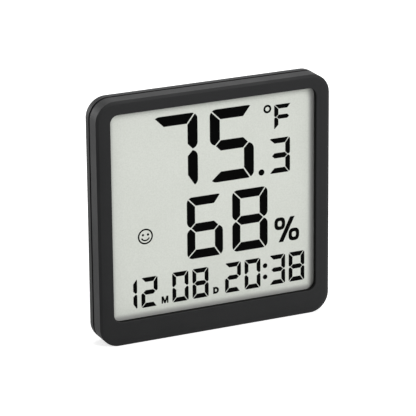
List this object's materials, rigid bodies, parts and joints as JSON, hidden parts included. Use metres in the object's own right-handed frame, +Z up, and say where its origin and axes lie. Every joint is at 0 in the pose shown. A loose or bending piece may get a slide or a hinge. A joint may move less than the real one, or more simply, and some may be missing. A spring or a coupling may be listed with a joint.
{
  "type": "temperature humidity sensor",
  "caption": "Square desk and wall instrument with a large segment display for room temperature, humidity and time, with a fold-out stand, a battery hump and push buttons on the back.",
  "frame": {"origin": "middle of the bounding box's bottom face, on the surface that the case stands on", "axes": "+X right as seen from the front, -Y out of the display, +Z up"},
  "size_m": [0.098, 0.0182, 0.098],
  "materials": {
    "case_plastic": "fine spark-eroded texture",
    "inner_plastic": "moulded, smooth",
    "button_plastic": "smooth, satin",
    "display_film": "satin film",
    "display_glass": "polished",
    "reflector_film": "brushed film",
    "foam": "fine foam",
    "striped_rubber": "smooth",
    "board_laminate": "solder mask",
    "chip_resin": "glossy resin",
    "switch_case": "bright sheet",
    "plunger_plastic": "smooth",
    "sensor_case": "smooth",
    "crystal_can": "drawn can",
    "chip_ceramic": "ceramic",
    "resistor_body": "ceramic",
    "contact_steel": "nickel plated",
    "screw_steel": "zinc plated",
    "cell_wrap": "printed wrap"
  },
  "bodies": {
    "housing": {"front_bezel": "case_plastic", "rear_cover": "case_plastic", "display_gasket": "foam", "front_polariser": "display_film", "front_glass": "display_glass", "rear_glass": "display_glass", "rear_reflector": "reflector_film", "display_holder": "inner_plastic", "zebra_connector": "striped_rubber", "main_board": "board_laminate", "driver_chip": "chip_resin", "clock_crystal": "crystal_can", "humidity_sensor": "sensor_case", "chip_capacitors": "chip_ceramic", "chip_resistors": "resistor_body", "switch_bodies": "switch_case", "lower_cell": "cell_wrap", "upper_cell": "cell_wrap", "contact_bridge": "contact_steel", "contact_positive": "contact_steel", "contact_negative": "contact_steel", "contact_springs": "contact_steel", "housing_screws": "screw_steel", "board_screws": "screw_steel"},
    "stand": {"stand_leg": "case_plastic"},
    "door": {"battery_door": "case_plastic"},
    "down_key": {"down_button": "button_plastic", "down_plunger": "plunger_plastic"},
    "up_key": {"up_button": "button_plastic", "up_plunger": "plunger_plastic"},
    "set_key": {"set_button": "button_plastic", "set_plunger": "plunger_plastic"}
  },
  "joints": [
    {"name": "stand_hinge", "type": "hinge", "parent": "housing", "child": "stand", "pos_m": [0, 0.0076, 0.0446], "axis": [1, 0, 0], "range_deg": [0, 38]},
    {"name": "battery_door_hinge", "type": "hinge", "parent": "housing", "child": "door", "pos_m": [0, 0.0091, 0.0509], "axis": [-1, 0, 0], "range_deg": [0, 75]},
    {"name": "down_press", "type": "slide", "parent": "housing", "child": "down_key", "axis": [0, -1, 0], "range_m": [0, 0.0003], "stiffness_N_per_m": 1500, "springref_m": -0.0002},
    {"name": "up_press", "type": "slide", "parent": "housing", "child": "up_key", "axis": [0, -1, 0], "range_m": [0, 0.0003], "stiffness_N_per_m": 1500, "springref_m": -0.0002},
    {"name": "set_press", "type": "slide", "parent": "housing", "child": "set_key", "axis": [0, -1, 0], "range_m": [0, 0.0003], "stiffness_N_per_m": 1500, "springref_m": -0.0002}
  ]
}
